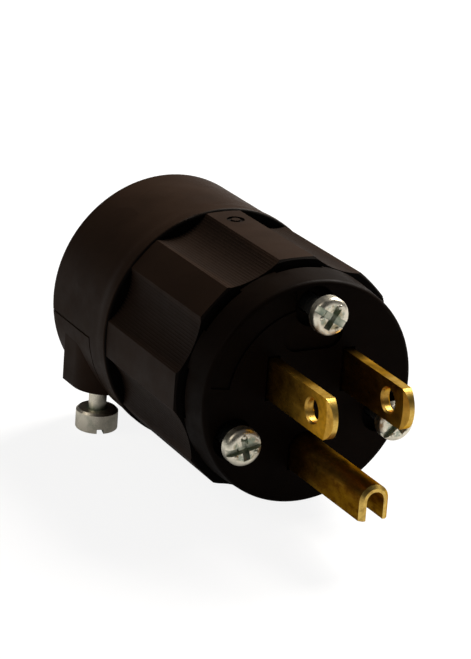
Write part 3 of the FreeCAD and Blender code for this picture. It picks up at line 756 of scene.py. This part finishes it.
def dot_tree():
    """Small raised dots in a ring on a screw's head, as flattened balls."""
    tree = geometry_tree("head dots", [
        ("Dots", "NodeSocketInt"), ("Circle", "NodeSocketFloat"), ("Dot Radius", "NodeSocketFloat"),
    ])
    given = tree.nodes["in"].outputs
    ring = add_node(tree, "GeometryNodeMeshCircle", {"Vertices": given["Dots"], "Radius": given["Circle"]})
    ball = add_node(tree, "GeometryNodeMeshUVSphere", {
        "Segments": DOT_SEGMENTS, "Rings": DOT_RINGS, "Radius": given["Dot Radius"],
    })
    dot = add_node(tree, "GeometryNodeTransform", {
        "Geometry": ball.outputs["Mesh"], "Scale": (1, 1, DOT_FLATNESS),
    })
    set_out = add_node(tree, "GeometryNodeInstanceOnPoints", {
        "Points": ring.outputs["Mesh"], "Instance": dot.outputs["Geometry"],
    })
    give_out(tree, set_out.outputs["Instances"])
    return tree


def grown_piece(name, tree, values, material):
    """The plain mesh that a geometry tree gives for named values."""
    carrier = bpy.data.objects.new(name + "_carrier", bpy.data.meshes.new(name + "_seed"))
    bpy.context.scene.collection.objects.link(carrier)
    modifier = carrier.modifiers.new("grow", "NODES")
    modifier.node_group = tree
    for item in tree.interface.items_tree:
        if item.in_out == "INPUT":
            modifier[item.identifier] = material if item.name == "Material" else values[item.name]
    bpy.context.view_layer.update()
    evaluated = carrier.evaluated_get(bpy.context.evaluated_depsgraph_get())
    mesh = bpy.data.meshes.new_from_object(evaluated)
    if "rib" in mesh.attributes:
        mesh.attributes.remove(mesh.attributes["rib"])
    bpy.data.objects.remove(carrier)
    mesh.name = name
    piece = bpy.data.objects.new(name, mesh)
    bpy.context.scene.collection.objects.link(piece)
    return piece


def flute_arc(lobe_radius, flute_radius):
    """Distance of a flute's arc centre from the axis, the arc's radius and its half angle."""
    half_turn = math.pi / LOBE_COUNT - LOBE_HALF_ANGLE
    edge = lobe_radius * math.sin(half_turn)
    fall = lobe_radius * math.cos(half_turn) - flute_radius
    radius = (edge * edge + fall * fall) / (2 * fall)
    return flute_radius + radius, radius, math.asin(edge / radius)


def add_grip_ribs(material):
    front_centre, front_radius, front_half = flute_arc(LOBE_FRONT, FLUTE_FRONT)
    rear_centre, rear_radius, rear_half = flute_arc(LOBE_REAR, FLUTE_REAR)
    ribs = grown_piece("grip_ribs", rib_tree(), {
        "Flutes": LOBE_COUNT, "Ribs": RIBS_PER_FLUTE, "Share": RIB_SHARE_OF_FLUTE,
        "Rib Radius": RIB_RADIUS, "Start": GRIP_FRONT + RIB_END_GAP, "End": GRIP_REAR,
        "Front Centre": front_centre, "Front Radius": front_radius, "Front Half": front_half,
        "Rear Centre": rear_centre, "Rear Radius": rear_radius, "Rear Half": rear_half, "Sink": RIB_SINK,
    }, material)
    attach(ribs, "plug")


def add_threads(material):
    """The thread on each face screw's uncovered shank."""
    tree = thread_tree()
    lie_down = Matrix.Rotation(-math.pi / 2, 4, "X")
    for name, screw in FACE_SCREWS.items():
        thread = grown_piece("screw_thread_" + name, tree, {
            "Turns": THREAD_TURNS, "Pitch": THREAD_PITCH, "Root": THREAD_ROOT, "Height": THREAD_HEIGHT,
        }, material)
        spot = on_screw_axis(screw, THREAD_BEHIND_HEAD - screw["proud"])
        thread.data.transform(Matrix.Translation(spot) @ lie_down)
        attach(thread, "plug")


def add_head_dots(material):
    """The small raised dots on each face screw's head, clear of its slot."""
    tree = dot_tree()
    lie_down = Matrix.Rotation(-math.pi / 2, 4, "X")
    for name, screw in FACE_SCREWS.items():
        dots = grown_piece("head_dots_" + name, tree, {
            "Dots": DOTS_PER_HEAD, "Circle": DOT_CIRCLE, "Dot Radius": DOT_RADIUS,
        }, material)
        spot = on_screw_axis(screw, -screw["proud"] - HEAD_HEIGHT)
        spin = Matrix.Rotation(math.radians(screw["dots_turned"]), 4, "Y")
        dots.data.transform(Matrix.Translation(spot) @ spin @ lie_down)
        dots.data.shade_smooth()
        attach(dots, "plug")


def add_camera():
    back = Vector((
        math.sin(CAMERA_AZIMUTH) * math.cos(CAMERA_ELEVATION),
        -math.cos(CAMERA_AZIMUTH) * math.cos(CAMERA_ELEVATION),
        math.sin(CAMERA_ELEVATION),
    ))
    right = Vector((0, 0, 1)).cross(back).normalized()
    up = back.cross(right)
    rolled_right = right * math.cos(CAMERA_ROLL) + up * math.sin(CAMERA_ROLL)
    rolled_up = up * math.cos(CAMERA_ROLL) - right * math.sin(CAMERA_ROLL)
    data = bpy.data.cameras.new("camera")
    data.sensor_fit = "VERTICAL"
    data.sensor_height = SENSOR_HEIGHT
    data.lens = FOCAL_IN_PIXELS / PICTURE_HEIGHT * SENSOR_HEIGHT
    data.clip_start = NEAREST_SEEN
    data.clip_end = FARTHEST_SEEN
    camera = bpy.data.objects.new("camera", data)
    turn = Matrix((rolled_right, rolled_up, back)).transposed().to_4x4()
    camera.matrix_world = Matrix.Translation(CAMERA_TARGET + back * CAMERA_DISTANCE) @ turn
    bpy.context.scene.collection.objects.link(camera)
    bpy.context.scene.camera = camera


def add_lights():
    for name, wanted in LIGHTS.items():
        data = bpy.data.lights.new(name, "AREA")
        data.size = wanted["size"]
        data.energy = wanted["power"]
        data.color = wanted["colour"]
        light = bpy.data.objects.new(name, data)
        place = Vector(wanted["place"])
        aim = (LIGHTS_AIM - place).to_track_quat("-Z", "Y").to_matrix().to_4x4()
        light.matrix_world = Matrix.Translation(place) @ aim
        bpy.context.scene.collection.objects.link(light)


def add_world():
    """A soft grey surround that is white to the eye."""
    world = bpy.data.worlds.new("surround")
    bpy.context.scene.world = world
    world.use_nodes = True
    tree = world.node_tree
    tree.nodes.clear()
    ray = add_node(tree, "ShaderNodeLightPath")
    grey = add_node(tree, "ShaderNodeBackground", {"Color": SURROUND_GREY, "Strength": SURROUND_STRENGTH})
    white = add_node(tree, "ShaderNodeBackground", {"Color": WHITE, "Strength": 1.0})
    mix = add_node(tree, "ShaderNodeMixShader", {
        "Fac": ray.outputs["Is Camera Ray"], 1: grey.outputs["Background"], 2: white.outputs["Background"],
    })
    add_node(tree, "ShaderNodeOutputWorld", {"Surface": mix.outputs["Shader"]})


def floor_oval(tree, middle, half_size, inside, outside):
    """A value that goes over from one to another round an oval on the floor."""
    centred = add_node(tree, "ShaderNodeMapping", {
        "Vector": object_place(tree), "Location": middle, "Scale": half_size,
    }, vector_type="TEXTURE").outputs["Vector"]
    away = add_node(tree, "ShaderNodeVectorMath", {0: centred}, operation="LENGTH").outputs["Value"]
    return remap(tree, away, OVAL_INSIDE, OVAL_OUTSIDE, inside, outside)


def add_floor():
    """A white floor that keeps the object's shadow."""
    mesh = bpy.data.meshes.new("floor")
    half = FLOOR_SIZE / 2
    corners = [(-half, -half, FLOOR_Z), (half, -half, FLOOR_Z), (half, half, FLOOR_Z), (-half, half, FLOOR_Z)]
    mesh.from_pydata(corners, [], [(0, 1, 2, 3)])
    floor = bpy.data.objects.new("floor", mesh)
    bpy.context.scene.collection.objects.link(floor)
    material, tree, shader = new_material("white paper")
    ray = add_node(tree, "ShaderNodeLightPath")
    seen = maths(tree, "MULTIPLY", ray.outputs["Is Camera Ray"], FLOOR_GLOW_SEEN)
    # Painted shadow in the floor's reflections: the glow they see is lowered under the plug and behind it
    open_floor = floor_oval(tree, UNDER_PLUG, UNDER_PLUG_HALF, FLOOR_GLOW_UNDER_PLUG, FLOOR_GLOW_MIRRORED)
    share = floor_oval(tree, BEHIND_PLUG, BEHIND_PLUG_HALF, FLOOR_SHARE_BEHIND, 1.0)
    glow = maths(tree, "MULTIPLY", open_floor, share)
    mirrored = maths(tree, "MULTIPLY", ray.outputs["Is Glossy Ray"], glow)
    feed(tree, shader, {
        "Base Color": FLOOR_GREY, "Roughness": FLOOR_ROUGHNESS, "Emission Color": WHITE,
        "Emission Strength": maths(tree, "MAXIMUM", seen, mirrored),
    })
    mesh.materials.append(material)


materials = {**make_plastics(), **make_sheet_brass(), **make_screw_metals()}
dress_nodes(materials)
add_grip_ribs(materials["housing_plastic"])
add_threads(materials["zinc_plated_steel"])
add_head_dots(materials["zinc_plated_steel"])
add_camera()
add_lights()
add_world()
add_floor()
bpy.context.scene.view_settings.view_transform = "Standard"
